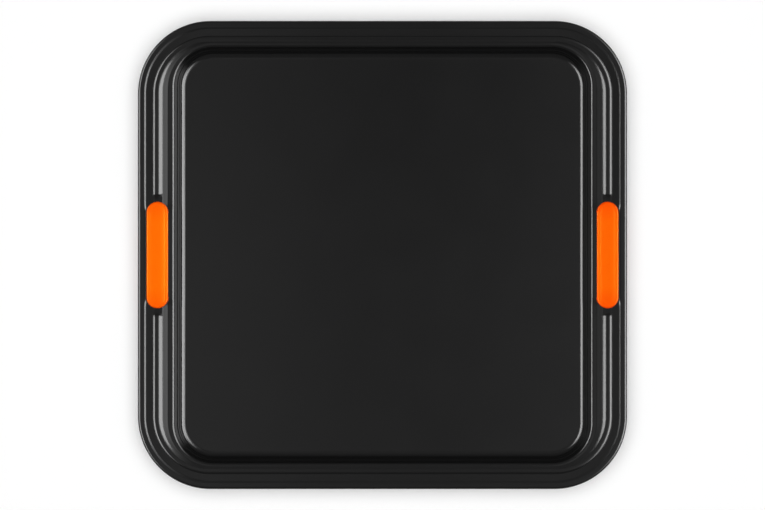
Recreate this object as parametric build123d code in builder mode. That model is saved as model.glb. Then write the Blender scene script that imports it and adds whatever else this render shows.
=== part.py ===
from build123d import *

import os
from math import atan, cos, degrees, radians, sin, sqrt

# Insulated cookie sheet: two pressed steel sheets with a layer of air between them, locked
# together by a folded seam round the rim, and a moulded silicone grip at each side.
# The frame stands on the middle of the underside. +X runs from grip to grip and +Z is up.
# Sizes are in millimetres and angles in degrees.

# The whole sheet
overall_width = 397.0
overall_depth = 380.0
outer_corner_radius = 59.0

# The two steel sheets and the air between their floors
baking_ply = 0.8
base_ply = 0.7
air_gap = 6.0

# The seam: the baking sheet's rim is rolled round the folded edge of the base sheet
seam_clearance = 0.05
fold_gap = 0.2
rim_band = 2.7
ramp_run = 2.5
hem_reach = 3.2
fold_reach = 2.4

# The stiffening bead pressed up in the flange, in one run over each end of the sheet
bead_width = 6.6
bead_height = 0.9
bead_end_gap = 4.8
bead_margin = 0.3

# The baking well
well_corner_radius = 34.0
well_depth = 11.0
well_top_radius = 2.8
well_foot_radius = 6.0
wall_slope = 62.0

# The base sheet's pan, which stands round the baking well
base_wall_gap = 2.4
base_corner_radius = 36.0
base_top_radius = 2.6
base_foot_radius = 6.0

# The silicone grips, each snapped into a slot through both sheets
grip_length = 86.5
grip_width = 17.9
grip_rim_gap = 0.05
grip_well_gap = 3.0
lip_overlap = 2.0
lip_thickness = 1.2
pad_inset = 3.0
pad_rise = 1.0
under_pad_rise = 0.6
edge_round_share = 0.7
slot_clearance = 0.1

# How far a swept ring shares the flat of the plate beside it, and how far cuts overrun
plate_lap = 0.8
cut_overrun = 1.0

# Heights, from the underside up
floor_under = base_ply + air_gap
flange_top = floor_under + baking_ply + well_depth
flange_under = flange_top - baking_ply
base_flange_under = flange_under - base_ply

# The seam in section: the rim stands above the flange by the edge that is folded under it
ramp_rise = fold_gap + base_ply + seam_clearance
ramp_angle = 2 * degrees(atan(ramp_rise / ramp_run))
ramp_radius = ramp_run / (2 * sin(radians(ramp_angle)))
fold_radius = fold_gap / 2
bend_radius = fold_radius + base_ply + seam_clearance + baking_ply

# Distances in from the outer edge
ramp_foot = bend_radius + rim_band + ramp_run
grip_line = ramp_foot + grip_rim_gap + grip_width / 2
end_flange = grip_line + bead_width / 2 + bead_margin
side_flange = grip_line + grip_width / 2 + grip_well_gap

# Half sizes of the outlines, and the line along which the grips and the beads lie
half_width = overall_width / 2
half_depth = overall_depth / 2
well_half_width = half_width - side_flange
well_half_depth = half_depth - end_flange
pan_half_width = well_half_width + base_wall_gap
pan_half_depth = well_half_depth + base_wall_gap
grip_x = half_width - grip_line

# The bead's upper face is one arc across, and its under face runs one ply inside it
bead_radius = ((bead_width / 2) ** 2 + bead_height**2) / (2 * bead_height)
bead_centre_z = flange_top + bead_height - bead_radius
bead_end_y = grip_length / 2 + bead_end_gap + bead_width / 2

# The slots through both sheets, inside the lips of the grips
slot_length = grip_length - 2 * lip_overlap
slot_width = grip_width - 2 * lip_overlap
slot_depth = baking_ply + base_ply + 2 * cut_overrun


def half_ring_path(half_x, half_y, radius):
    """The +Y half of a rounded rectangle, from its +X side round to its -X side."""
    with BuildLine() as path:
        FilletPolyline(
            (half_x, 0), (half_x, half_y), (-half_x, half_y), (-half_x, 0), radius=radius
        )
    return path.wires()[0]


def wall_straight(drop, top_radius, foot_radius):
    """The length of a wall's straight slope, between its top bend and its foot bend."""
    bends = (top_radius + foot_radius) * (1 - cos(radians(wall_slope)))
    return (drop - bends) / sin(radians(wall_slope))


def wall_run(drop, top_radius, foot_radius):
    """How far a wall reaches inward from its top edge to the flat of its floor."""
    slope = radians(wall_slope)
    straight = wall_straight(drop, top_radius, foot_radius)
    return (top_radius + foot_radius) * sin(slope) + straight * cos(slope)


def rim_section(ply, skin):
    """A ply's section at the rim, from the function that draws its upper skin."""
    with BuildSketch(Plane.XZ) as section:
        with BuildLine():
            skin()
            offset(amount=ply, side=Side.RIGHT)
        make_face()
    return section.sketch


def baking_rim():
    """The baking sheet's rim: flange, ramp, raised band, half turn round the seam, hem."""
    flange_end = half_width - ramp_foot
    flange = Line((flange_end - plate_lap, flange_top), (flange_end, flange_top))
    ramp_up = JernArc(flange @ 1, flange % 1, ramp_radius, ramp_angle)
    ramp_over = JernArc(ramp_up @ 1, ramp_up % 1, ramp_radius, -ramp_angle)
    band = Line(ramp_over @ 1, ramp_over @ 1 + Vector(rim_band, 0))
    bend = JernArc(band @ 1, band % 1, bend_radius, -180)
    Line(bend @ 1, bend @ 1 - Vector(hem_reach, 0))


def base_rim():
    """The base sheet's rim: flange, then its edge folded up and back over itself."""
    flange_start = half_width - ramp_foot - plate_lap
    flange = Line((flange_start, flange_under), (half_width - bend_radius, flange_under))
    fold = JernArc(flange @ 1, flange % 1, fold_radius, 180)
    Line(fold @ 1, fold @ 1 - Vector(fold_reach, 0))


def wall_section(edge_x, top_z, drop, top_radius, foot_radius, ply):
    """A pressed wall's section: flange, top bend, slope, foot bend and floor."""
    straight = wall_straight(drop, top_radius, foot_radius)
    with BuildSketch(Plane.XZ) as section:
        with BuildLine():
            flange = Line((edge_x + plate_lap, top_z), (edge_x, top_z))
            top_bend = JernArc(flange @ 1, flange % 1, top_radius, wall_slope)
            slope = Line(top_bend @ 1, top_bend @ 1 + straight * (top_bend % 1))
            foot_bend = JernArc(slope @ 1, slope % 1, foot_radius, -wall_slope)
            Line(foot_bend @ 1, foot_bend @ 1 - Vector(plate_lap, 0))
            offset(amount=ply, side=Side.LEFT)
        make_face()
    return section.sketch


def flange_face(under_z, hole_half_x, hole_half_y, hole_corner):
    """The flat of the flange, from the foot of the rim in to the top of the well."""
    with BuildSketch(Plane.XY.offset(under_z)) as face:
        RectangleRounded(
            overall_width - 2 * ramp_foot,
            overall_depth - 2 * ramp_foot,
            outer_corner_radius - ramp_foot,
        )
        RectangleRounded(2 * hole_half_x, 2 * hole_half_y, hole_corner, mode=Mode.SUBTRACT)
    return face.sketch


def floor_face(under_z, half_x, half_y, corner, run):
    """The flat floor inside the foot of a pressed wall."""
    with BuildSketch(Plane.XY.offset(under_z)) as face:
        RectangleRounded(2 * (half_x - run), 2 * (half_y - run), corner - run)
    return face.sketch


def slot_pair():
    """The two slots that the grips pass through, drawn above both sheets."""
    with BuildSketch(Plane.XY.offset(flange_top + cut_overrun)) as pair:
        with Locations((-grip_x, 0), (grip_x, 0)):
            SlotOverall(slot_length, slot_width, rotation=90)
    return pair.sketch


def bead_run(skin_depth):
    """A bead's solid down to the flange, on the face that lies skin_depth inside its top."""
    radius = bead_radius - skin_depth
    base_z = flange_top - skin_depth
    half = sqrt(radius**2 - (base_z - bead_centre_z) ** 2)
    crest = bead_centre_z + radius
    with BuildPart() as run:
        with BuildLine() as path:
            FilletPolyline(
                (grip_x, bead_end_y),
                (grip_x, half_depth - grip_line),
                (-grip_x, half_depth - grip_line),
                (-grip_x, bead_end_y),
                radius=outer_corner_radius - grip_line,
            )
        with BuildSketch(Plane.XZ.offset(-bead_end_y)):
            with BuildLine():
                ThreePointArc((grip_x - half, base_z), (grip_x, crest), (grip_x + half, base_z))
                Line((grip_x + half, base_z), (grip_x - half, base_z))
            make_face()
        sweep(path=path.wires()[0])
        for side in (-1, 1):
            with BuildSketch(Plane.XZ.offset(-bead_end_y)):
                with BuildLine():
                    RadiusArc((side * grip_x, crest), (side * grip_x + half, base_z), radius)
                    Polyline(
                        (side * grip_x + half, base_z),
                        (side * grip_x, base_z),
                        (side * grip_x, crest),
                    )
                make_face()
            revolve(axis=Axis((side * grip_x, bead_end_y, 0), (0, 0, 1)))
        mirror(about=Plane.XZ)
    return run.part


well_run = wall_run(well_depth, well_top_radius, well_foot_radius)
pan_drop = flange_under - base_ply
pan_run = wall_run(pan_drop, base_top_radius, base_foot_radius)
outer_path = half_ring_path(half_width, half_depth, outer_corner_radius)

with BuildPart() as baking_sheet:
    sweep(rim_section(baking_ply, baking_rim), path=outer_path)
    sweep(
        wall_section(
            well_half_width,
            flange_top,
            well_depth,
            well_top_radius,
            well_foot_radius,
            baking_ply,
        ),
        path=half_ring_path(well_half_width, well_half_depth, well_corner_radius),
    )
    mirror(about=Plane.XZ)
    extrude(
        flange_face(flange_under, well_half_width, well_half_depth, well_corner_radius),
        amount=baking_ply,
    )
    extrude(
        floor_face(
            floor_under, well_half_width, well_half_depth, well_corner_radius, well_run
        ),
        amount=baking_ply,
    )
    add(bead_run(0))
    add(bead_run(baking_ply), mode=Mode.SUBTRACT)
    extrude(slot_pair(), amount=-slot_depth, mode=Mode.SUBTRACT)

with BuildPart() as base_sheet:
    sweep(rim_section(base_ply, base_rim), path=outer_path)
    sweep(
        wall_section(
            pan_half_width, flange_under, pan_drop, base_top_radius, base_foot_radius, base_ply
        ),
        path=half_ring_path(pan_half_width, pan_half_depth, base_corner_radius),
    )
    mirror(about=Plane.XZ)
    extrude(
        flange_face(base_flange_under, pan_half_width, pan_half_depth, base_corner_radius),
        amount=base_ply,
    )
    extrude(
        floor_face(0, pan_half_width, pan_half_depth, base_corner_radius, pan_run),
        amount=base_ply,
    )
    extrude(slot_pair(), amount=-slot_depth, mode=Mode.SUBTRACT)

with BuildPart() as grip:
    with BuildSketch(Plane.XY.offset(base_flange_under)):
        SlotOverall(
            slot_length - 2 * slot_clearance, slot_width - 2 * slot_clearance, rotation=90
        )
    extrude(amount=baking_ply + base_ply)
    for face_z, outward, rise in (
        (flange_top, 1, pad_rise),
        (base_flange_under, -1, under_pad_rise),
    ):
        way_out = Axis((0, 0, 0), (0, 0, outward))
        with BuildSketch(Plane.XY.offset(face_z)):
            SlotOverall(grip_length, grip_width, rotation=90)
        extrude(amount=outward * lip_thickness)
        fillet(faces().sort_by(way_out)[-1].edges(), edge_round_share * lip_thickness)
        with BuildSketch(Plane.XY.offset(face_z + outward * lip_thickness)):
            SlotOverall(grip_length - 2 * pad_inset, grip_width - 2 * pad_inset, rotation=90)
        extrude(amount=outward * rise)
        fillet(faces().sort_by(way_out)[-1].edges(), edge_round_share * rise)

os.makedirs("parts", exist_ok=True)
baking_sheet.part.label = "baking_sheet"
base_sheet.part.label = "base_sheet"
export_step(baking_sheet.part, "parts/baking_sheet.step")
export_step(base_sheet.part, "parts/base_sheet.step")
for label, side in (("left_grip", -1), ("right_grip", 1)):
    placed = grip.part.moved(Location((side * grip_x, 0, 0)))
    placed.label = label
    export_step(placed, f"parts/{label}.step")
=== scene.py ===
# %% [markdown]
# # A cookie sheet with silicone grips
# This notebook dresses a measured model of an insulated cookie sheet. The real one is two steel
# pressings, one inside the other, folded together at the rim and coated black, with an orange
# silicone grip let into each side. The measured model carries the sizes. Here each piece gets a
# fine mesh with smooth bends, and a coating or rubber that takes the light as the real one does.

# %% Load the measured frame
import math

import bpy
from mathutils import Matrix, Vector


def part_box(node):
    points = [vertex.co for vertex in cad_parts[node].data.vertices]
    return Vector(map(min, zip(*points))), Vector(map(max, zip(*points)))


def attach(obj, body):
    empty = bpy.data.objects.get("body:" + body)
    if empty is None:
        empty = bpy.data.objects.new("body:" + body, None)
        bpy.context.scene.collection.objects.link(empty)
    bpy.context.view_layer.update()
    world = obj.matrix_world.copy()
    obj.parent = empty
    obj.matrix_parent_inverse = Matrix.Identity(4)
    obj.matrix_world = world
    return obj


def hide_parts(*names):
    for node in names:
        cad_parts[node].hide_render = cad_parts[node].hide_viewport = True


MM = 0.001

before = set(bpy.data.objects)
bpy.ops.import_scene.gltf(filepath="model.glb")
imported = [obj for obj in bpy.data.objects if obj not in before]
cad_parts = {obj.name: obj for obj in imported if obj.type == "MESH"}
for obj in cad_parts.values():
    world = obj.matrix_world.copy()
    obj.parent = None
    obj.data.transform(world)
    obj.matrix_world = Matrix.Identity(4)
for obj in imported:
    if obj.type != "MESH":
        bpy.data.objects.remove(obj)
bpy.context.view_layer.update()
print("nodes", sorted(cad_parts))

# %% [markdown]
# ## The camera
# The sheet was photographed from straight above with a long lens, so its sides show almost no
# perspective. A wide lens near by would show the well smaller than the rim. The camera hangs over
# the middle of the sheet, and its lens is worked out from the width that the picture takes in.

# %% Hang the camera
PICTURE_WIDTH = 620.8 * MM
CAMERA_HEIGHT = 2.6
SENSOR_WIDTH = 36.0
WIDEST_HEIGHT = 17.8 * MM

bpy.ops.object.camera_add(location=(0, 0, CAMERA_HEIGHT), rotation=(0, 0, 0))
camera = bpy.context.object
camera.data.sensor_width = SENSOR_WIDTH
camera.data.lens = SENSOR_WIDTH * (CAMERA_HEIGHT - WIDEST_HEIGHT) / PICTURE_WIDTH
bpy.context.scene.camera = camera
bpy.context.scene.view_settings.view_transform = "Standard"
print("lens, mm", round(camera.data.lens, 1))

# %% [markdown]
# ## Walking a section inwards
# A pressed sheet has the same section all the way round. It could be swept along a curve, but the
# corners of the rim and of the well have different radii. So each skin starts as one flat face with
# rounded corners, and is inset again and again: each inset steps in by a little and moves the
# middle up or down. A list of such steps is the section, and the offset stays even in the corners.

# %% Make the steps of a bend and of a straight slope
BEND_STEP = 5.0
FEWEST_STEPS = 2
QUARTER_TURN = 90.0
HOLD = 0.12 * MM


def bend(radius, lean_from, lean_to):
    """Steps over a bend. Lean is the angle of the surface, and above 0 it faces outwards."""
    count = max(FEWEST_STEPS, math.ceil(abs(lean_to - lean_from) / BEND_STEP))
    side = 1 if lean_to < lean_from else -1
    leans = [math.radians(lean_from + (lean_to - lean_from) * i / count) for i in range(count + 1)]
    return [
        (side * radius * (math.sin(a) - math.sin(b)), side * radius * (math.cos(b) - math.cos(a)))
        for a, b in zip(leans, leans[1:])
    ]


def slope(run, lean=0.0):
    """One straight step, run long inwards."""
    return [(run, run * math.tan(math.radians(lean)))]


def stretch(run, lean=0.0):
    """A straight slope with a short step at each end, which holds the smooth shading there."""
    return slope(HOLD, lean) + slope(run - 2 * HOLD, lean) + slope(HOLD, lean)


def reach(steps):
    """How far in and how far up a list of steps goes."""
    return sum(s[0] for s in steps), sum(s[1] for s in steps)


print("steps in a quarter turn", len(bend(1, QUARTER_TURN, 0)))

# %% Start a rounded outline, and inset it along a section
CORNER_STEPS = 40


def rest_all():
    """Leaves edit mode and deselects everything."""
    if bpy.context.object and bpy.context.object.mode == "EDIT":
        bpy.ops.object.mode_set(mode="OBJECT")
    bpy.ops.object.select_all(action="DESELECT")


def pick(piece):
    """Selects one piece alone and makes it the active one."""
    rest_all()
    piece.select_set(True)
    bpy.context.view_layer.objects.active = piece


def start_outline(name, half_x, half_y, corner, z, faces_up=True, x=0.0):
    """A flat rounded rectangle, left in edit mode with its one face selected."""
    rest_all()
    bpy.ops.mesh.primitive_plane_add(size=2, location=(x, 0, z))
    piece = bpy.context.object
    piece.name = piece.data.name = name
    piece.scale = (half_x, half_y, 1)
    bpy.ops.object.transform_apply(location=True, rotation=True, scale=True)
    bpy.ops.object.mode_set(mode="EDIT")
    bpy.ops.mesh.select_all(action="SELECT")
    bpy.ops.mesh.bevel(offset=corner, segments=CORNER_STEPS, affect="VERTICES")
    bpy.ops.mesh.select_mode(type="FACE")
    bpy.ops.mesh.select_all(action="SELECT")
    if not faces_up:
        bpy.ops.mesh.flip_normals()
    return piece


def step_in(steps):
    """Insets the selected face once for each step of a section."""
    for inward, up in steps:
        bpy.ops.mesh.inset(thickness=inward, depth=up, use_boundary=True, use_even_offset=True)


def open_middle():
    """Deletes the selected middle face, and leaves its outline open."""
    bpy.ops.mesh.delete(type="ONLY_FACE")


# %% [markdown]
# ## The sizes of the steel
# A real sheet of this kind is about 0.8 mm steel, and most of its bends are more than twice as
# wide. Only the outer foot of the bead and the folded edges are tighter. The outline comes from
# the measured frame, so that the visible sheets end where the measured ones do, and the rest is
# named here in millimetres, as on a drawing of the section.

# %% Name the sizes of the steel
half_x, half_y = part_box("baking_sheet")[1].xy
OUTER_CORNER = 59.0 * MM
BAKING_PLY = 0.8 * MM
BASE_PLY = 0.7 * MM
FLANGE_TOP = 18.5 * MM
WELL_FLOOR = 7.5 * MM
WELL_SIDE = 27.6 * MM
WELL_END = 19.2 * MM
WELL_CORNER = 34.0 * MM
WELL_TOP_BEND = 2.3 * MM
WELL_FOOT_BEND = 5.2 * MM
WALL_LEAN = -61.0
print("sheet, mm", round(2 * half_x / MM, 1), "by", round(2 * half_y / MM, 1))

# %% [markdown]
# ## The baking sheet: rim and bead
# From outside in, the upper pressing has a rolled rim, a flat band over the seam, a small ramp down
# to the flange, and a raised bead that stiffens it. The bead could be a separate bar laid on top,
# but it is pressed from the same steel, so it is part of the section. The section that is the same
# all round ends a little past the bead's crest, because its inner flank is not.

# %% Work out the section of the rim
ROLL_RADIUS = 2.1 * MM
BAND_RUN = 2.7 * MM
RAMP_BEND = 2.4 * MM
RAMP_LEAN = -15.7
RAMP_STRAIGHT = 0.9 * MM
FLAT_LEAN = -1.0

roll = bend(ROLL_RADIUS, QUARTER_TURN, 0)
band = stretch(BAND_RUN)
ramp = bend(RAMP_BEND, 0, RAMP_LEAN) + stretch(RAMP_STRAIGHT, RAMP_LEAN)
ramp += bend(RAMP_BEND, RAMP_LEAN, FLAT_LEAN)
print("rim, mm", round(reach(roll + band + ramp)[0] / MM, 2), "wide with its ramp")

# %% Work out the section of the bead
BEAD_LINE = 14.55 * MM
BEAD_HEIGHT = 0.95 * MM
BEAD_FOOT_BEND = 0.15 * MM
BEAD_FOOT_LEAN = 50.0
BEAD_EDGE_BEND = 0.4 * MM
BEAD_SIDE_LEAN = 25.0
BEAD_SIDE_BEND = 4.3 * MM
CREST_RUN = 1.45 * MM
CREST_BEND = 4.8 * MM
FLANK_LEAN = -16.0

bead_foot = bend(BEAD_FOOT_BEND, 0, BEAD_FOOT_LEAN)
bead_side = bend(BEAD_EDGE_BEND, BEAD_FOOT_LEAN, BEAD_SIDE_LEAN)
bead_side += bend(BEAD_SIDE_BEND, BEAD_SIDE_LEAN, 0)
steep_rise = BEAD_HEIGHT - reach(bead_foot + bead_side)[1]
steep = slope(steep_rise / math.tan(math.radians(BEAD_FOOT_LEAN)), BEAD_FOOT_LEAN)
outer_flank = bead_foot + steep + bead_side
past_crest = stretch(CREST_RUN) + bend(CREST_BEND, 0, FLANK_LEAN)

outer_run = reach(outer_flank)[0]
flat_run = BEAD_LINE - outer_run - reach(roll + band + ramp)[0]
flat = stretch(flat_run, FLAT_LEAN)
rim_top = FLANGE_TOP - reach(ramp + flat)[1]
flank_in = BEAD_LINE + reach(past_crest)[0]
flank_top = FLANGE_TOP + BEAD_HEIGHT + reach(past_crest)[1]
print("rim at, mm", round(rim_top / MM, 2), "and the bead's outer flank", round(outer_run / MM, 2))

# %% Inset the rim, the bead and the hem
HEM_BEND = 1.0 * MM
HEM_RUN = 3.6 * MM

rim_size = (half_x, half_y, OUTER_CORNER, rim_top - ROLL_RADIUS)
baking_sheet = start_outline("coated_baking_sheet", *rim_size)
step_in(roll + band + ramp + flat + outer_flank + past_crest)
open_middle()

hem = start_outline("hem", *rim_size, faces_up=False)
step_in(bend(HEM_BEND, QUARTER_TURN, 0) + stretch(HEM_RUN))
open_middle()
print("rim and bead", len(baking_sheet.data.polygons), "faces")

# %% [markdown]
# ## The baking sheet: the well
# The well has its own outline, nearer to the ends of the sheet than to its sides, so it is a
# second face, inset down a wall that leans in and a wide bend at its foot. A drawn wall is never
# quite flat: here its lean changes by six to nine degrees on the way down, which shows as soft
# ripples in the gloss. A plain slope would look too clean. Then the flange between the bead and
# the well is bridged from one outline to the other, with cuts enough for its shape.

# %% Inset the well
# Each part of the wall is a share of its width, and a lean.
WALL_RIPPLE = ((0.4, -62.0), (0.16, -53.0), (0.18, -62.0), (0.11, -56.0), (0.15, -62.0))

well_top = bend(WELL_TOP_BEND, 0, WALL_LEAN)
well_foot = bend(WELL_FOOT_BEND, WALL_LEAN, 0)
wall_drop = flank_top - WELL_FLOOR + reach(well_top + well_foot)[1]
wall_run = wall_drop / sum(share * math.tan(math.radians(-lean)) for share, lean in WALL_RIPPLE)
wall = []
for share, lean in WALL_RIPPLE:
    wall += stretch(share * wall_run, lean)

well = start_outline("well", half_x - WELL_SIDE, half_y - WELL_END, WELL_CORNER, flank_top)
step_in(well_top + wall + well_foot + slope(HOLD))
floor_top = flank_top + reach(well_top + wall + well_foot)[1]
print("wall, mm", round(wall_run / MM, 2), "wide, floor at", round(floor_top / MM, 2))

# %% Join skins, and find the points of an outline
MERGE = 0.002 * MM
HAIR = 0.03 * MM


def join(pieces):
    """Joins pieces into the first, and merges the points where they meet."""
    rest_all()
    for piece in pieces:
        piece.select_set(True)
    bpy.context.view_layer.objects.active = pieces[0]
    bpy.ops.object.join()
    bpy.ops.object.mode_set(mode="EDIT")
    bpy.ops.mesh.select_all(action="SELECT")
    bpy.ops.mesh.remove_doubles(threshold=MERGE)
    return pieces[0]


def inside(point, side, end, corner):
    """How far a point lies inside a rounded outline that stands in from the rim."""
    past_x = max(abs(point.x) - (half_x - side - corner), 0)
    past_y = max(abs(point.y) - (half_y - end - corner), 0)
    return corner - math.hypot(past_x, past_y)


# %% Bridge the flange
FLANGE_CUTS = 24


def bridge(piece, outlines, z, cuts):
    """Bridges two outlines, each given as side, end and corner, that lie open at one height."""
    bpy.ops.mesh.select_mode(type="EDGE")
    bpy.ops.mesh.select_all(action="DESELECT")
    bpy.ops.object.mode_set(mode="OBJECT")
    points = [v.co for v in piece.data.vertices]
    on_outline = [
        any(abs(inside(p, *o)) < HAIR for o in outlines) and abs(p.z - z) < HAIR for p in points
    ]
    for edge in piece.data.edges:
        edge.select = all(on_outline[i] for i in edge.vertices)
    bpy.ops.object.mode_set(mode="EDIT")
    bpy.ops.mesh.bridge_edge_loops(type="SINGLE", number_cuts=cuts, interpolation="LINEAR")


flank_outline = (flank_in, flank_in, OUTER_CORNER - flank_in)
well_outline = (WELL_SIDE, WELL_END, WELL_CORNER)
join([baking_sheet, hem, well])
bridge(baking_sheet, (flank_outline, well_outline), flank_top, FLANGE_CUTS)
rest_all()
print("skin", len(baking_sheet.data.polygons), "faces")

# %% [markdown]
# ## The inner flank and the fall of the flange
# On the sides, the bead's inner flank runs out long and soft, and the flange falls a little on
# towards the well, which gives a bright line and a grey band. The fall dies out under each grip. On
# the ends of the sheet the flange is too narrow, and the bead goes almost straight into the wall.
# The shape could be set point by point, but a weight and a displace modifier say it better: the
# weight is the share of the full drop at each point. It shrinks with the width of the flange, and
# dies out down the wall.

# %% Cut rows across the skin where it changes along the sides
GRIP_HALF_X = 8.95 * MM
GRIP_HALF_Y = 43.25 * MM
BEAD_END_GAP = 4.3 * MM
END_ROWS = 9
FALL_START = 34.0 * MM
FALL_FULL = 42.0 * MM
FALL_ROWS = 8
CUT_TOLERANCE = 0.0003 * MM

bead_tip = GRIP_HALF_Y + BEAD_END_GAP
end_rows = {}
for row in range(END_ROWS):
    turn = math.radians(QUARTER_TURN) * row / END_ROWS
    end_rows[bead_tip + outer_run * (1 - math.sin(turn))] = math.cos(turn)
fall_rows = [
    FALL_START + (FALL_FULL - FALL_START) * row / FALL_ROWS for row in range(FALL_ROWS + 1)
]


def cut_rows(piece, distances):
    """Cuts a piece across at each distance in front of and behind its middle."""
    pick(piece)
    bpy.ops.object.mode_set(mode="EDIT")
    for y in distances:
        for place in (-y, y):
            bpy.ops.mesh.select_all(action="SELECT")
            bpy.ops.mesh.bisect(plane_co=(0, place, 0), plane_no=(0, 1, 0), threshold=CUT_TOLERANCE)
    rest_all()


cut_rows(baking_sheet, [bead_tip, *end_rows, *fall_rows])
print("rows at the bead's end, mm", [round(y / MM, 2) for y in end_rows])

# %% Give the leans of the flank and of the flange
# Each line is a run in millimetres from the top of the flank, and the lean there.
FLANK_LEANS = (
    (0.0, 16.0),
    (0.6, 18.5),
    (2.0, 17.0),
    (2.9, 13.5),
    (3.5, 11.0),
    (3.9, 8.6),
    (4.5, 8.0),
    (5.7, 10.8),
    (6.6, 9.6),
    (7.4, 0.0),
    (11.0, 0.0),
)

widest_flange = WELL_SIDE - flank_in
flank_drop = flank_top - FLANGE_TOP


def drop_after(run):
    """How far the widest flange has dropped after a run, from leans that change evenly."""
    total = 0.0
    for (start, lean), (end, next_lean) in zip(FLANK_LEANS, FLANK_LEANS[1:]):
        part = min(max(run / MM - start, 0.0), end - start) * MM
        first, last = math.tan(math.radians(lean)), math.tan(math.radians(next_lean))
        here = first + (last - first) * part / ((end - start) * MM)
        total += part * (first + here) / 2
    return total


full_drop = drop_after(widest_flange)
print("flank", round(flank_drop / MM, 2), "mm, in all", round(full_drop / MM, 2), "mm")


# %% Share out the drop over the sheet
def smooth(share):
    """A share from 0 to 1 with a soft start and a soft end."""
    share = min(max(share, 0.0), 1.0)
    return share**2 * (3 - 2 * share)


def flange_drop(point, top, floor):
    """The drop of the flank, and of the flange below it, at a point of a sheet."""
    from_flank = inside(point, *flank_outline)
    width = from_flank - inside(point, *well_outline)
    if from_flank <= 0 or width <= 0:
        return 0.0, 0.0
    drop = drop_after(from_flank / width * widest_flange) * min(width / widest_flange, 1.0)
    flank = min(drop, flank_drop)
    fall = (drop - flank) * smooth((abs(point.y) - FALL_START) / (FALL_FULL - FALL_START))
    down_wall = min(max((point.z - floor) / (top - floor), 0.0), 1.0)
    return flank * down_wall, fall * down_wall


# %% Press the drop in
def apply_modifier(piece, modifier):
    """Makes what a modifier does a part of the mesh."""
    pick(piece)
    bpy.ops.object.modifier_apply(modifier=modifier.name)


def press_down(piece, drop_at):
    """Lowers each point of a piece by the drop that a function gives for it."""
    rest_all()
    group = piece.vertex_groups.new(name="drop")
    for vertex in piece.data.vertices:
        group.add([vertex.index], drop_at(vertex.co) / full_drop, "REPLACE")
    press = piece.modifiers.new("drop", "DISPLACE")
    press.direction = "Z"
    press.mid_level = 0
    press.strength = -full_drop
    press.vertex_group = "drop"
    apply_modifier(piece, press)
    piece.vertex_groups.remove(piece.vertex_groups["drop"])


press_down(baking_sheet, lambda p: sum(flange_drop(p, flank_top, WELL_FLOOR)))
print("pressed", len(baking_sheet.data.vertices), "points")

# %% [markdown]
# ## The ends of the bead
# The bead stops short of each grip in a rounded end. It could be closed with a quarter of a ball,
# but the skin already has the bead's section, so each row that was cut across there is drawn in:
# its width follows a half circle and its height the square of that, which is about what a bead
# spun about its end gives. Between the two ends the bead is pressed flat.

# %% Pick points by a test, and scale them
ROW_TOLERANCE = 0.01 * MM


def select_where(piece, wanted):
    """Selects the points that pass a test, in edit mode."""
    bpy.ops.object.mode_set(mode="EDIT")
    bpy.ops.mesh.select_mode(type="VERT")
    bpy.ops.mesh.select_all(action="DESELECT")
    bpy.ops.object.mode_set(mode="OBJECT")
    for vertex in piece.data.vertices:
        vertex.select = wanted(vertex.co)
    bpy.ops.object.mode_set(mode="EDIT")


def resize_where(piece, wanted, value, centre):
    """Scales the points that pass a test, about a centre."""
    select_where(piece, wanted)
    bpy.ops.transform.resize(value=value, center_override=centre)
    bpy.ops.object.mode_set(mode="OBJECT")


def on_row(point, side, row_y):
    """True on one side of the sheet, on the rows at a distance before and behind its middle."""
    return point.x * side > 0 and abs(abs(point.y) - row_y) < ROW_TOLERANCE


# %% Draw in the bead's ends
def on_bead(point):
    """True where the bead or its flank stands above the flange, on the sides of the sheet."""
    in_from_edge = half_x - abs(point.x)
    return BEAD_LINE - outer_run - HAIR < in_from_edge < WELL_SIDE and point.z > FLANGE_TOP


pick(baking_sheet)
for side in (-1, 1):
    for row_y, share in end_rows.items():
        resize_where(
            baking_sheet,
            lambda p: on_row(p, side, row_y) and on_bead(p),
            (share, 1, share**2),
            (side * (half_x - BEAD_LINE), 0, FLANGE_TOP),
        )
resize_where(
    baking_sheet,
    lambda p: on_bead(p) and abs(p.y) < bead_tip + ROW_TOLERANCE,
    (1, 1, 0),
    (0, 0, FLANGE_TOP),
)
print("bead ends at, mm", round(bead_tip / MM, 2))

# %% [markdown]
# ## The ramp beside the grips
# Beside a grip the flat of the rim runs on, right up to the rubber, and the ramp is squeezed into a
# small steep step along it. The step could be a second outline, but the ramp has the same points
# on every row, so they are drawn together across each row, a little more from row to row.

# %% Squeeze the ramp
STEP_LINE = 6.9 * MM
STEP_SHARE = 0.28
STEP_START = 42.0 * MM
STEP_FULL = 34.0 * MM
STEP_ROWS = 8

step_rows = [
    STEP_START + (STEP_FULL - STEP_START) * row / STEP_ROWS for row in range(STEP_ROWS + 1)
]
cut_rows(baking_sheet, step_rows)
ramp_start = reach(roll + band)[0]
ramp_end = ramp_start + reach(ramp)[0]


def on_ramp(point):
    """True on the ramp, on the sides of the sheet."""
    return ramp_start - HAIR < half_x - abs(point.x) < ramp_end + HAIR and point.z > FLANGE_TOP


pick(baking_sheet)
for side in (-1, 1):
    for row_y in step_rows:
        share = smooth((STEP_START - row_y) / (STEP_START - STEP_FULL))
        resize_where(
            baking_sheet,
            lambda p: on_row(p, side, row_y) and on_ramp(p),
            (1 + (STEP_SHARE - 1) * share, 1, 1),
            (side * (half_x - STEP_LINE), 0, 0),
        )
print("ramp squeezed from, mm", round((ramp_end - ramp_start) / MM, 2))

# %% [markdown]
# ## The base sheet
# The lower pressing closes the layer of air. From below it has a flat flange, a pan with leaning
# walls and a flat underside, and its edge is folded over once, inside the rolled rim. It is made
# the same way, but its skin faces down, so that the ply can be given inwards from what shows.

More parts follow.
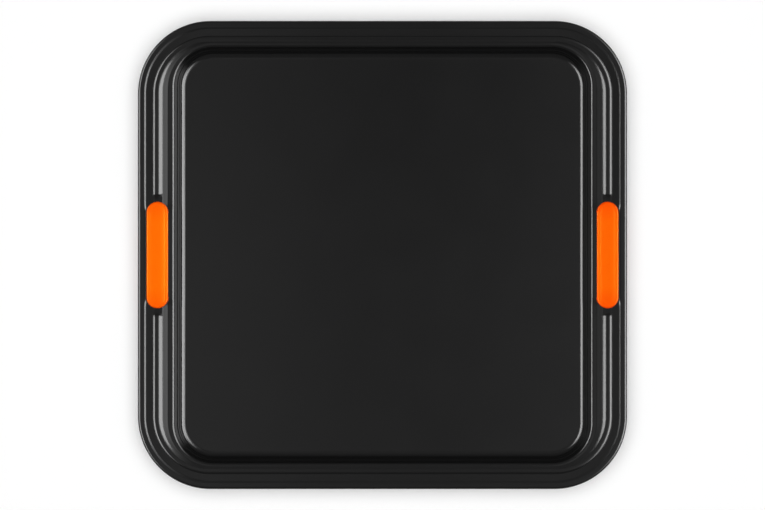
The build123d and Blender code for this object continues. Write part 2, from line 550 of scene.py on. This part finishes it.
# %% Inset the fold
SEAM_GAP = 0.02 * MM
FOLD_IN = 1.4 * MM
FOLD_REACH = 1.9 * MM
JOGGLE_START = 5.2 * MM
JOGGLE_LEAN = -14.0

base_flange = FLANGE_TOP - BAKING_PLY - BASE_PLY
fold_bend = BASE_PLY + SEAM_GAP
fold_middle = rim_top - BAKING_PLY - SEAM_GAP - fold_bend
joggle = base_flange - (fold_middle - fold_bend)
joggle_run = joggle / math.tan(math.radians(-JOGGLE_LEAN))
fold_size = (half_x - FOLD_IN, half_y - FOLD_IN, OUTER_CORNER - FOLD_IN, fold_middle)
base_sheet = start_outline("coated_base_sheet", *fold_size, faces_up=False)
step_in(
    bend(fold_bend, QUARTER_TURN, 0)
    + slope(JOGGLE_START - FOLD_IN - fold_bend)
    + slope(joggle_run, JOGGLE_LEAN)
)
open_middle()
fold_over = start_outline("fold_over", *fold_size)
step_in(bend(fold_bend, QUARTER_TURN, 0) + slope(FOLD_REACH))
open_middle()
print("joggle, mm", round(joggle / MM, 2), "over", round(joggle_run / MM, 2))

# %% Inset the pan
PAN_GAP = 2.4 * MM
PAN_CORNER = 36.0 * MM
PAN_TOP_BEND = 2.6 * MM
PAN_FOOT_BEND = 6.0 * MM

pan_side, pan_end = WELL_SIDE - PAN_GAP, WELL_END - PAN_GAP
pan = start_outline(
    "pan", half_x - pan_side, half_y - pan_end, PAN_CORNER, base_flange, faces_up=False
)
pan_foot = PAN_FOOT_BEND + BASE_PLY
pan_top = PAN_TOP_BEND - BASE_PLY
pan_bends = (pan_top + pan_foot) * (1 - math.cos(math.radians(WALL_LEAN)))
pan_straight = (base_flange - pan_bends) / math.tan(math.radians(-WALL_LEAN))
step_in(
    bend(pan_top, 0, -WALL_LEAN)
    + stretch(pan_straight, -WALL_LEAN)
    + bend(pan_foot, -WALL_LEAN, 0)
    + slope(HOLD)
)
print("pan wall, mm", round(pan_straight / MM, 2), "wide between its bends")

# %% Bridge the base sheet's flange, and press the fall in
BASE_CUTS = 24

join([base_sheet, fold_over, pan])
flange_edge = JOGGLE_START + joggle_run
seam_outline = (flange_edge, flange_edge, OUTER_CORNER - flange_edge)
bridge(base_sheet, (seam_outline, (pan_side, pan_end, PAN_CORNER)), base_flange, BASE_CUTS)
cut_rows(base_sheet, fall_rows)
press_down(base_sheet, lambda p: flange_drop(p, base_flange, 0.0)[1])
lowest = min(v.co.z for v in base_sheet.data.vertices)
print("underside at, mm", round(lowest / MM, 3))

# %% [markdown]
# ## The thickness of the steel and the slots
# Both skins are open shells so far. A solidify modifier gives each its ply on the inner side and
# closes the cut edges. The slots for the grips go through both sheets, so one cutter, a stadium
# on each side, is taken out of both with a boolean.

# %% Make the cutter for the slots
LIP_OVERLAP = 2.0 * MM
CUT_LOW = 14.0 * MM
CUT_RISE = 8.0 * MM
GRIP_LINE = 15.85 * MM
STADIUM_SHARE = 0.999
STADIUM_MERGE = 0.05 * MM

grip_x = half_x - GRIP_LINE


def start_stadium(name, inset, z, faces_up=True, side=1):
    """An outline with round ends at a grip's place, inset from the grip's own outline."""
    across, along = GRIP_HALF_X - inset, GRIP_HALF_Y - inset
    piece = start_outline(
        name, across, along, across * STADIUM_SHARE, z, faces_up=faces_up, x=side * grip_x
    )
    bpy.ops.mesh.remove_doubles(threshold=STADIUM_MERGE)
    return piece


cutters = []
for side in (-1, 1):
    cutter = start_stadium("slot_cutter", LIP_OVERLAP, CUT_LOW, side=side)
    bpy.ops.mesh.extrude_region_move(TRANSFORM_OT_translate={"value": (0, 0, CUT_RISE)})
    bpy.ops.mesh.select_all(action="SELECT")
    bpy.ops.mesh.normals_make_consistent(inside=False)
    cutters.append(cutter)
cutter = join(cutters)
rest_all()
slot_size = [2 * (half - LIP_OVERLAP) for half in (GRIP_HALF_X, GRIP_HALF_Y)]
print("slots, mm", [round(size / MM, 1) for size in slot_size])


# %% Give each sheet its ply and cut the slots
def thicken(piece, ply):
    """Gives a skin its ply on the inner side."""
    solidify = piece.modifiers.new("ply", "SOLIDIFY")
    solidify.thickness = ply
    solidify.offset = -1
    solidify.use_even_offset = True
    apply_modifier(piece, solidify)


for sheet, ply in ((baking_sheet, BAKING_PLY), (base_sheet, BASE_PLY)):
    thicken(sheet, ply)
    slots = sheet.modifiers.new("slots", "BOOLEAN")
    slots.operation = "DIFFERENCE"
    slots.solver = "EXACT"
    slots.object = cutter
    apply_modifier(sheet, slots)
    print(sheet.name, len(sheet.data.polygons), "faces")
bpy.data.objects.remove(cutter)

# %% [markdown]
# ## The grips
# Each grip is one moulding of silicone: a lip all round, a small valley, and a pad with soft
# shoulders, above and below the sheets, joined by a waist through the slots. It could be a
# rounded box, but the light shows the lip and the pad as separate soft lines, so the section is
# walked in from the edge as before. The top is then turned a little, so that it faces the well, and
# the underside is pressed down with the flange that it lies on. One grip is modelled, and the other
# is its mirrored copy.

# %% Work out the sections of the grip
LIP_WALL_RUN = 0.21 * MM
LIP_WALL_LEAN = 70.0
LIP_BEND = 1.4 * MM
VALLEY_LEAN = -3.0
VALLEY_RUN = 0.9 * MM
VALLEY_BEND = 0.5 * MM
PAD_EDGE_BEND = 0.5 * MM
SHOULDER_BEND = 17.0 * MM
SHOULDER_LEAN = 13.0
CROWN_LEAN = 2.0
UNDER_EDGE_LEAN = 30.0
UNDER_CROWN_LEAN = 9.0
LAST_STRIP = 0.35 * MM

lip = (
    slope(LIP_WALL_RUN, LIP_WALL_LEAN)
    + bend(LIP_BEND, LIP_WALL_LEAN, VALLEY_LEAN)
    + slope(VALLEY_RUN, VALLEY_LEAN)
)


def crown(before, lean):
    """Steps from a lean to the level, that end a strip short of the middle of the grip."""
    run = GRIP_HALF_X - LAST_STRIP - reach(before)[0]
    return bend(run / math.sin(math.radians(lean)), lean, 0)


upper = (
    lip
    + bend(VALLEY_BEND, VALLEY_LEAN, SHOULDER_LEAN)
    + bend(SHOULDER_BEND, SHOULDER_LEAN, CROWN_LEAN)
)
upper += crown(upper, CROWN_LEAN)
lower = (
    lip
    + bend(VALLEY_BEND, VALLEY_LEAN, UNDER_EDGE_LEAN)
    + bend(PAD_EDGE_BEND, UNDER_EDGE_LEAN, UNDER_CROWN_LEAN)
)
lower += crown(lower, UNDER_CROWN_LEAN)
print("grip stands, mm", round((FLANGE_TOP + reach(upper)[1]) / MM, 2))

# %% Inset the top of one grip, and turn it towards the well
TOP_TILT = 4.0
LIP_STRIP = 0.95 * MM

right_grip = start_stadium("right_silicone_grip", 0, FLANGE_TOP)
step_in(upper)
select_where(right_grip, lambda p: p.z > FLANGE_TOP + HAIR)
bpy.ops.transform.rotate(
    value=math.radians(TOP_TILT), orient_axis="Y", center_override=(grip_x, 0, FLANGE_TOP)
)
bpy.ops.object.mode_set(mode="OBJECT")
for name, side in (("well", -1), ("rim", 1)):
    strip_start = side * grip_x + GRIP_HALF_X - LIP_STRIP
    heights = [v.co.z for v in right_grip.data.vertices if side * v.co.x > strip_start]
    print("top of the lip towards the", name, round(max(heights) / MM, 2))

# %% Inset the underside, bridge the waist, and press the underside down
under_lip = start_stadium("under_lip", 0, FLANGE_TOP, faces_up=False)
step_in(slope(LIP_OVERLAP))
open_middle()
over_lip = start_stadium("over_lip", 0, base_flange)
step_in(slope(LIP_OVERLAP))
open_middle()
lower_side = start_stadium("lower_side", 0, base_flange, faces_up=False)
step_in(lower)
join([right_grip, under_lip, over_lip, lower_side])
bpy.ops.mesh.select_mode(type="EDGE")
bpy.ops.mesh.select_all(action="DESELECT")
bpy.ops.mesh.select_non_manifold()
bpy.ops.mesh.bridge_edge_loops(type="SINGLE")


def fall_below_lip(point):
    """The flange's fall under the lip and below it, and nothing for the top of the grip."""
    on_top = point.z > FLANGE_TOP + HAIR
    return 0.0 if on_top else flange_drop(point, base_flange, 0.0)[1]


press_down(right_grip, fall_below_lip)
print("grip", len(right_grip.data.polygons), "faces")

# %% Mirror a copy for the other side
pick(right_grip)
bpy.ops.object.duplicate(linked=False)
left_grip = bpy.context.object
left_grip.name = left_grip.data.name = "left_silicone_grip"
left_grip.scale = (-1, 1, 1)
bpy.ops.object.transform_apply(location=False, rotation=False, scale=True)
bpy.ops.object.mode_set(mode="EDIT")
bpy.ops.mesh.select_all(action="SELECT")
bpy.ops.mesh.normals_make_consistent(inside=False)
rest_all()
print("left grip from, mm", round(min(v.co.x for v in left_grip.data.vertices) / MM, 2))

# %% Shade smooth over the bends and sharp at the cut edges
SHARP_ANGLE = 40.0

pieces = {
    "baking_sheet": baking_sheet,
    "base_sheet": base_sheet,
    "right_grip": right_grip,
    "left_grip": left_grip,
}
for piece in pieces.values():
    pick(piece)
    bpy.ops.object.shade_smooth_by_angle(angle=math.radians(SHARP_ANGLE))
    tallest = max(v.co.z for v in piece.data.vertices)
    print(piece.name, "tallest point, mm", round(tallest / MM, 2))

# %% [markdown]
# ## The non-stick coating
# The coating is a thin black film, sprayed on and baked. It is nearly black, with a satin gloss
# that is a little uneven, and a fine grain. A plain black with one roughness would look like
# plastic, so noise drives the roughness, the black itself by a trace, and a very small bump.

# %% Make a material and a noise, and let the noise drive a value or a colour
# Most of the noise's values lie between these two.
NOISE_LOW = 0.3
NOISE_HIGH = 0.7
NOISE_DETAIL = 2
MOTTLE_DETAIL = 3


def new_material(name, colour, roughness, ior):
    """A material whose even values sit on the shader's own sockets."""
    material = bpy.data.materials.new(name)
    material.use_nodes = True
    shader = material.node_tree.nodes["Principled BSDF"]
    shader.inputs["Base Color"].default_value = (*colour, 1)
    shader.inputs["Roughness"].default_value = roughness
    shader.inputs["IOR"].default_value = ior
    return material, shader


def noise(material, size, detail=NOISE_DETAIL):
    """Noise on object coordinates, with blotches of about a size in metres."""
    nodes, links = material.node_tree.nodes, material.node_tree.links
    coordinates = nodes.new("ShaderNodeTexCoord")
    texture = nodes.new("ShaderNodeTexNoise")
    texture.inputs["Scale"].default_value = 1 / size
    texture.inputs["Detail"].default_value = detail
    links.new(coordinates.outputs["Object"], texture.inputs["Vector"])
    return texture.outputs["Fac"]


def spread(tree, value, low, high, to_low, to_high):
    """Maps a socket's values from one range to another."""
    node = tree.nodes.new("ShaderNodeMapRange")
    names = ("From Min", "From Max", "To Min", "To Max")
    for name, number in zip(names, (low, high, to_low, to_high)):
        node.inputs[name].default_value = number
    tree.links.new(value, node.inputs["Value"])
    return node.outputs["Result"]


def vary(material, value, socket, low, high):
    """Drives a socket between two values by a noise, or between two colours by a share."""
    nodes, links = material.node_tree.nodes, material.node_tree.links
    if isinstance(low, tuple):
        mix = nodes.new("ShaderNodeMix")
        mix.data_type = "RGBA"
        mix.inputs["A"].default_value = (*low, 1)
        mix.inputs["B"].default_value = (*high, 1)
        links.new(value, mix.inputs["Factor"])
        links.new(mix.outputs["Result"], socket)
    else:
        result = spread(material.node_tree, value, NOISE_LOW, NOISE_HIGH, low, high)
        links.new(result, socket)


def bump(material, shader, value, height, strength):
    """Roughens a surface by a height."""
    nodes, links = material.node_tree.nodes, material.node_tree.links
    relief = nodes.new("ShaderNodeBump")
    relief.inputs["Distance"].default_value = height
    relief.inputs["Strength"].default_value = strength
    links.new(value, relief.inputs["Height"])
    links.new(relief.outputs["Normal"], shader.inputs["Normal"])


# %% Mix the coating
COATING_IOR = 1.2
COATING_BLACK = (0.006, 0.006, 0.006)
COATING_DARKER = (0.0053, 0.0053, 0.0054)
COATING_LIGHTER = (0.0069, 0.0069, 0.0069)
COATING_ROUGHNESS = 0.14
COATING_SMOOTHER = 0.134
COATING_ROUGHER = 0.148
GLOSS_PATCH = 40 * MM
COATING_MOTTLE = 1.2 * MM
COATING_GRAIN = 0.5 * MM
GRAIN_HEIGHT = 0.004 * MM
GRAIN_STRENGTH = 0.4

coating, film = new_material("nonstick_coating", COATING_BLACK, COATING_ROUGHNESS, COATING_IOR)
gloss = noise(coating, GLOSS_PATCH)
vary(coating, gloss, film.inputs["Roughness"], COATING_SMOOTHER, COATING_ROUGHER)
mottle = noise(coating, COATING_MOTTLE, MOTTLE_DETAIL)
vary(coating, mottle, film.inputs["Base Color"], COATING_DARKER, COATING_LIGHTER)
bump(coating, film, noise(coating, COATING_GRAIN), GRAIN_HEIGHT, GRAIN_STRENGTH)
print("coating with", len(coating.node_tree.nodes), "nodes")

# %% [markdown]
# ## The silicone
# Moulded silicone is matte, with a fine texture from the mould. The colour is a full orange.
# Painted shade makes it redder in the right grip and towards the ends of both, which get less
# light. Noise alone would mottle it, so the place on the object drives most of the mix, and
# noise adds a little random tone. The bump is fine enough to read as a soft touch rather than as
# lumps.

# %% Work out how red the silicone is at each place, with its painted shade
ORANGE = (0.95, 0.145, 0.0003)
MIDDLE_ORANGE = (0.94, 0.137, 0.0002)
REDDER = (0.92, 0.045, 0.0001)
# Shares of painted shade, redder where less light falls: the right grip, and the ends of both.
RIGHT_GRIP_SHADE_SHARE = 0.24
END_SHADE_SHARE = 0.44
END_SHADE_START = 26.0 * MM
MOTTLE_SHARE = 0.16
SILICONE_MOTTLE = 9 * MM
SILICONE_IOR = 1.25
SILICONE_ROUGHNESS = 0.24


def arithmetic(tree, operation, *values):
    """A math node over sockets."""
    node = tree.nodes.new("ShaderNodeMath")
    node.operation = operation
    for socket, value in zip(node.inputs, values):
        tree.links.new(value, socket)
    return node.outputs[0]


silicone, rubber = new_material("orange_silicone", MIDDLE_ORANGE, SILICONE_ROUGHNESS, SILICONE_IOR)
mix_tree = silicone.node_tree
coordinates = mix_tree.nodes.new("ShaderNodeTexCoord")
axes = mix_tree.nodes.new("ShaderNodeSeparateXYZ")
mix_tree.links.new(coordinates.outputs["Object"], axes.inputs["Vector"])
from_middle = arithmetic(mix_tree, "ABSOLUTE", axes.outputs["Y"])
# Painted shade: the right grip is mixed redder than the left, and both redder towards their ends.
right_grip_shade = spread(mix_tree, axes.outputs["X"], -MM, MM, 0, RIGHT_GRIP_SHADE_SHARE)
ends = spread(mix_tree, from_middle, END_SHADE_START, GRIP_HALF_Y, 0, END_SHADE_SHARE)
blotches = noise(silicone, SILICONE_MOTTLE, MOTTLE_DETAIL)
mottle = spread(mix_tree, blotches, 0, 1, 0, MOTTLE_SHARE)
shade_and_mottle = arithmetic(mix_tree, "ADD", arithmetic(mix_tree, "ADD", right_grip_shade, ends), mottle)
vary(silicone, shade_and_mottle, rubber.inputs["Base Color"], ORANGE, REDDER)
print("redness up to", round(RIGHT_GRIP_SHADE_SHARE + END_SHADE_SHARE + MOTTLE_SHARE, 2))

# %% Finish the silicone's surface
SILICONE_SHEEN = (1.0, 0.42, 0.04)
SILICONE_SMOOTHER = 0.22
SILICONE_ROUGHER = 0.26
TOUCH_PATCH = 5 * MM
MOULD_GRAIN = 0.4 * MM
MOULD_HEIGHT = 0.01 * MM
MOULD_STRENGTH = 0.5

rubber.inputs["Specular Tint"].default_value = (*SILICONE_SHEEN, 1)
touch = noise(silicone, TOUCH_PATCH)
vary(silicone, touch, rubber.inputs["Roughness"], SILICONE_SMOOTHER, SILICONE_ROUGHER)
bump(silicone, rubber, noise(silicone, MOULD_GRAIN), MOULD_HEIGHT, MOULD_STRENGTH)
print("silicone with", len(mix_tree.nodes), "nodes")

# %% Put the finishes on, hide each measured part and hang its piece on the root
finishes = {
    "baking_sheet": (coating, "nonstick_steel"),
    "base_sheet": (coating, "nonstick_steel"),
    "right_grip": (silicone, "orange_silicone"),
    "left_grip": (silicone, "orange_silicone"),
}
for node, piece in pieces.items():
    material, slot_name = finishes[node]
    piece.data.materials.clear()
    piece.data.materials.append(material)
    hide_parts(node)
    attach(piece, "root")
    print(piece.name, "stands for", node, "in", slot_name)

# %% [markdown]
# ## The white floor
# The sheet lies on white, with a soft shadow close round it. A floor that is only lit would need
# strong lamps to turn white, and they would spoil the black. So the floor glows a little towards
# the camera and towards reflections, and its own paint gives the rest, where the shadow falls.

# %% Lay the floor
FLOOR_HALF = 12.0
FLOOR_DROP = 0.2 * MM
FLOOR_GLOW = 0.25
FLOOR_PAINT = 0.75


def seen_directly(nodes, links):
    """One for rays from the camera, from a glossy surface or through a clear one, else zero."""
    light_path = nodes.new("ShaderNodeLightPath")
    total = light_path.outputs["Is Camera Ray"]
    for ray in ("Is Glossy Ray", "Is Transmission Ray"):
        add = nodes.new("ShaderNodeMath")
        add.operation = "ADD"
        add.use_clamp = True
        links.new(total, add.inputs[0])
        links.new(light_path.outputs[ray], add.inputs[1])
        total = add.outputs[0]
    return total


rest_all()
bpy.ops.mesh.primitive_plane_add(size=2 * FLOOR_HALF, location=(0, 0, -FLOOR_DROP))
floor = bpy.context.object
floor.name = "white_floor"
white = bpy.data.materials.new("white_floor")
white.use_nodes = True
nodes, links = white.node_tree.nodes, white.node_tree.links
paint = nodes["Principled BSDF"]
paint.inputs["Base Color"].default_value = (FLOOR_PAINT, FLOOR_PAINT, FLOOR_PAINT, 1)
paint.inputs["Roughness"].default_value = 1.0
paint.inputs["Specular IOR Level"].default_value = 0.0
paint.inputs["Emission Color"].default_value = (FLOOR_GLOW, FLOOR_GLOW, FLOOR_GLOW, 1)
links.new(seen_directly(nodes, links), paint.inputs["Emission Strength"])
floor.data.materials.append(white)
print("floor, m", 2 * FLOOR_HALF, "across")

# %% [markdown]
# ## The surroundings
# The coating shows the studio above it, and the photograph tells what hung there: dim straight
# above and at the front and back, and brighter to both sides, most to the right. A panorama could
# hold that, but two curves of light are enough: one over the direction's Y, from front to back, and
# one over its X, from left to right, which fades towards the front, the back and the horizon.
# Only reflections see them. What lights the floor and the rubber is dim and even.

# %% Give the light from front to back and from left to right
# Each place is a part of the direction, from -1 to 1, with the light there.
END_GLOWS = (
    (-1, 0.55),
    (-0.75, 0.55),
    (-0.5, 0.45),
    (-0.07, 0.6),
    (0, 0.42),
    (0.07, 0),
    (0.5, 1.0),
    (1, 0.4),
)
SIDE_GLOWS = (
    (-0.96, 0.3),
    (-0.9, 6),
    (-0.8, 6),
    (-0.65, 1.8),
    (-0.105, 1.8),
    (-0.06, 1.5),
    (0, 0),
    (0.06, 0.5),
    (0.105, 1.8),
    (0.21, 10.3),
    (0.9, 10.3),
    (0.96, 0.3),
)


def ramp_over(tree, value, stops):
    """Light over a coordinate, from places and values with even changes between them."""
    node = tree.nodes.new("ShaderNodeFloatCurve")
    first, last = stops[0][0], stops[-1][0]
    top = max(light for place, light in stops)
    curve = node.mapping.curves[0]
    for place, light in stops[1:-1]:
        curve.points.new(0, 0)
    for point, (place, light) in zip(curve.points, stops):
        point.location = ((place - first) / (last - first), light / top)
        point.handle_type = "VECTOR"
    node.mapping.update()
    tree.links.new(spread(tree, value, first, last, 0, 1), node.inputs["Value"])
    return spread(tree, node.outputs["Value"], 0, 1, 0, top)


print("light at", len(END_GLOWS), "places front to back and", len(SIDE_GLOWS), "across")

# %% Make the surroundings
WORLD_FILL = 0.12
GLOW_END = 0.45

world = bpy.data.worlds.new("studio")
bpy.context.scene.world = world
world.use_nodes = True
sky = world.node_tree
nodes, links = sky.nodes, sky.links

direction = nodes.new("ShaderNodeTexCoord")
split = nodes.new("ShaderNodeSeparateXYZ")
links.new(direction.outputs["Generated"], split.inputs["Vector"])

above = ramp_over(sky, split.outputs["Y"], END_GLOWS)
near_middle = spread(sky, arithmetic(sky, "ABSOLUTE", split.outputs["Y"]), 0, GLOW_END, 1, 0)
beside = arithmetic(sky, "MULTIPLY", ramp_over(sky, split.outputs["X"], SIDE_GLOWS), near_middle)
reflected = arithmetic(sky, "ADD", above, beside)

light_path = nodes.new("ShaderNodeLightPath")
glossy = nodes.new("ShaderNodeMix")
glossy.inputs["A"].default_value = 1.0
links.new(light_path.outputs["Is Glossy Ray"], glossy.inputs["Factor"])
links.new(reflected, glossy.inputs["B"])

strength = nodes.new("ShaderNodeMapRange")
strength.clamp = False
strength.inputs["To Min"].default_value = WORLD_FILL
links.new(seen_directly(nodes, links), strength.inputs["Value"])
links.new(glossy.outputs["Result"], strength.inputs["To Max"])
links.new(strength.outputs["Result"], nodes["Background"].inputs["Strength"])
nodes["Background"].inputs["Color"].default_value = (1, 1, 1, 1)
print("surroundings with", len(nodes), "nodes")

# %% [markdown]
# ## The lamps
# A round lamp overhead gives the even light and the soft shadow. It must not show in the coating,
# which reflects straight up all over its flats, so it is hidden from reflections. Tall panels at
# the sides do the opposite: they show only in the gloss, and draw the light lines on the bends. One
# panel on each side could do, but the bends show that the light changed with height, so they are
# stacked, two on the left and three on the right, and dimmed towards their front and back ends.

# %% Hang the round lamp
LAMP_HEIGHT = 2.2
LAMP_HALF_ANGLE = 38.0
LAMP_LIGHT = 0.9


def add_lamp(name, shape, size, size_y, place, radiance):
    """An area lamp that faces down, with its radiance given."""
    rest_all()
    bpy.ops.object.light_add(type="AREA", location=place)
    lamp = bpy.context.object
    lamp.name = name
    lamp.data.shape = shape
    lamp.data.size = size
    area = size * size_y
    if shape == "DISK":
        area *= math.pi / 4
    else:
        lamp.data.size_y = size_y
    lamp.data.energy = radiance * math.pi * area
    lamp.visible_camera = False
    return lamp


disc = 2 * LAMP_HEIGHT * math.tan(math.radians(LAMP_HALF_ANGLE))
radiance = LAMP_LIGHT / math.sin(math.radians(LAMP_HALF_ANGLE)) ** 2
overhead = add_lamp("overhead_lamp", "DISK", disc, disc, (0, 0, LAMP_HEIGHT), radiance)
overhead.visible_glossy = False
print("overhead lamp, m", round(disc, 2), "across")

# %% Stand the panels
PANEL_DISTANCE = 6.0
PANEL_LENGTH = 9.4
PANEL_EVEN = 2.6
# Each panel has a name, a side, the angles from straight above that it spans, and a radiance.
PANELS = (
    ("left_panel", -1, 26.5, 57, 39.5),
    ("left_panel_lowest", -1, 57, 70, 6),
    ("right_panel", 1, 23.5, 44, 36.5),
    ("right_panel_below", 1, 44, 57, 26),
    ("right_panel_lowest", 1, 57, 70, 48),
)


def fade_ends(lamp, even, length):
    """Dims a lamp from the end of its even part to its own front and back ends."""
    lamp.data.use_nodes = True
    tree = lamp.data.node_tree
    geometry = tree.nodes.new("ShaderNodeNewGeometry")
    axes = tree.nodes.new("ShaderNodeSeparateXYZ")
    tree.links.new(geometry.outputs["Position"], axes.inputs["Vector"])
    from_middle = arithmetic(tree, "ABSOLUTE", axes.outputs["Y"])
    fade = spread(tree, from_middle, even / 2, length / 2, 1, 0)
    fade.node.interpolation_type = "SMOOTHSTEP"
    tree.links.new(fade, tree.nodes["Emission"].inputs["Strength"])


for name, side, low, high, radiance in PANELS:
    middle = math.radians((low + high) / 2)
    half = math.radians((high - low) / 2)
    height = 2 * PANEL_DISTANCE * math.tan(half)
    place = (side * PANEL_DISTANCE * math.sin(middle), 0, PANEL_DISTANCE * math.cos(middle))
    panel = add_lamp(name, "RECTANGLE", height, PANEL_LENGTH, place, radiance)
    panel.rotation_euler = (0, side * middle, 0)
    panel.visible_diffuse = False
    fade_ends(panel, PANEL_EVEN, PANEL_LENGTH)
    print(name, "m", round(height, 2), "high")
